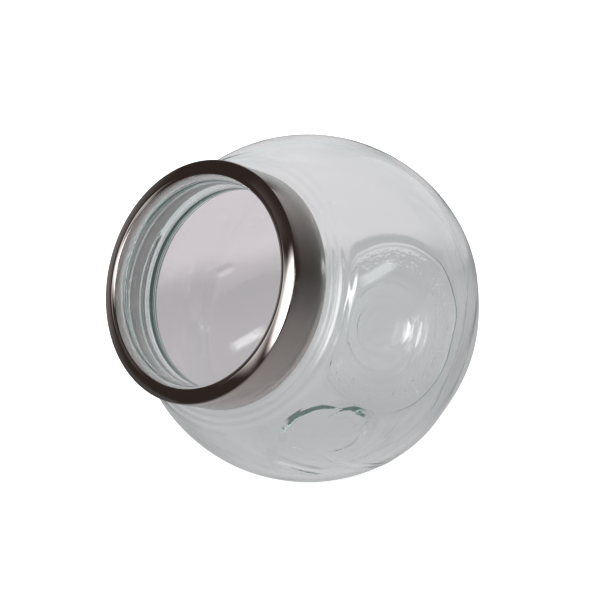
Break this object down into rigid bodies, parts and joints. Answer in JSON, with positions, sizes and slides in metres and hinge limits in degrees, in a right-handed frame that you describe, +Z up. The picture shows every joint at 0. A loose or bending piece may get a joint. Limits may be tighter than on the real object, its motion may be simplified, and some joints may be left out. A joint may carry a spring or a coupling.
{
  "type": "globe jar",
  "caption": "Round clear glass jar lying tilted on a side flat, with a slanted screw mouth and a metal-rimmed screw lid that has a see-through window.",
  "frame": {"origin": "centre of the round flat on the jar's side, which the jar rests on; the globe's centre is straight above it", "axes": "+Z up; the mouth axis lies in the XZ plane and points up along +X, 37.6 degrees above the horizontal; +Y completes the right-handed frame and the slightly flattened flank faces it"},
  "size_m": [0.175, 0.1595, 0.1655],
  "materials": {
    "clear_glass": "clear moulded glass, faintly green in its edges",
    "black_nickel": "dark mirror plating",
    "pale_liner": "pale moulded plastic",
    "window_glass": "clear flat disc",
    "seal_silicone": "satin milky silicone"
  },
  "bodies": {
    "jar": {"jar_body": "clear_glass"},
    "lid_insert": {"lid_window": "window_glass", "lid_gasket": "seal_silicone"},
    "lid_band": {"lid_ring": "black_nickel", "lid_liner": "pale_liner"}
  },
  "joints": [
    {"name": "lid_rise", "type": "slide", "parent": "jar", "child": "lid_insert", "axis": [0.7923, 0, 0.6101], "range_m": [0, 0.021]},
    {"name": "lid_turn", "type": "hinge", "parent": "lid_insert", "child": "lid_band", "pos_m": [0.06315, 0, 0.12393], "axis": [0.7923, 0, 0.6101], "range_deg": [0, 1080]}
  ],
  "couplings": [
    {"joint": "lid_rise", "follows": "lid_turn", "m_per_rad": 0.0011141}
  ]
}
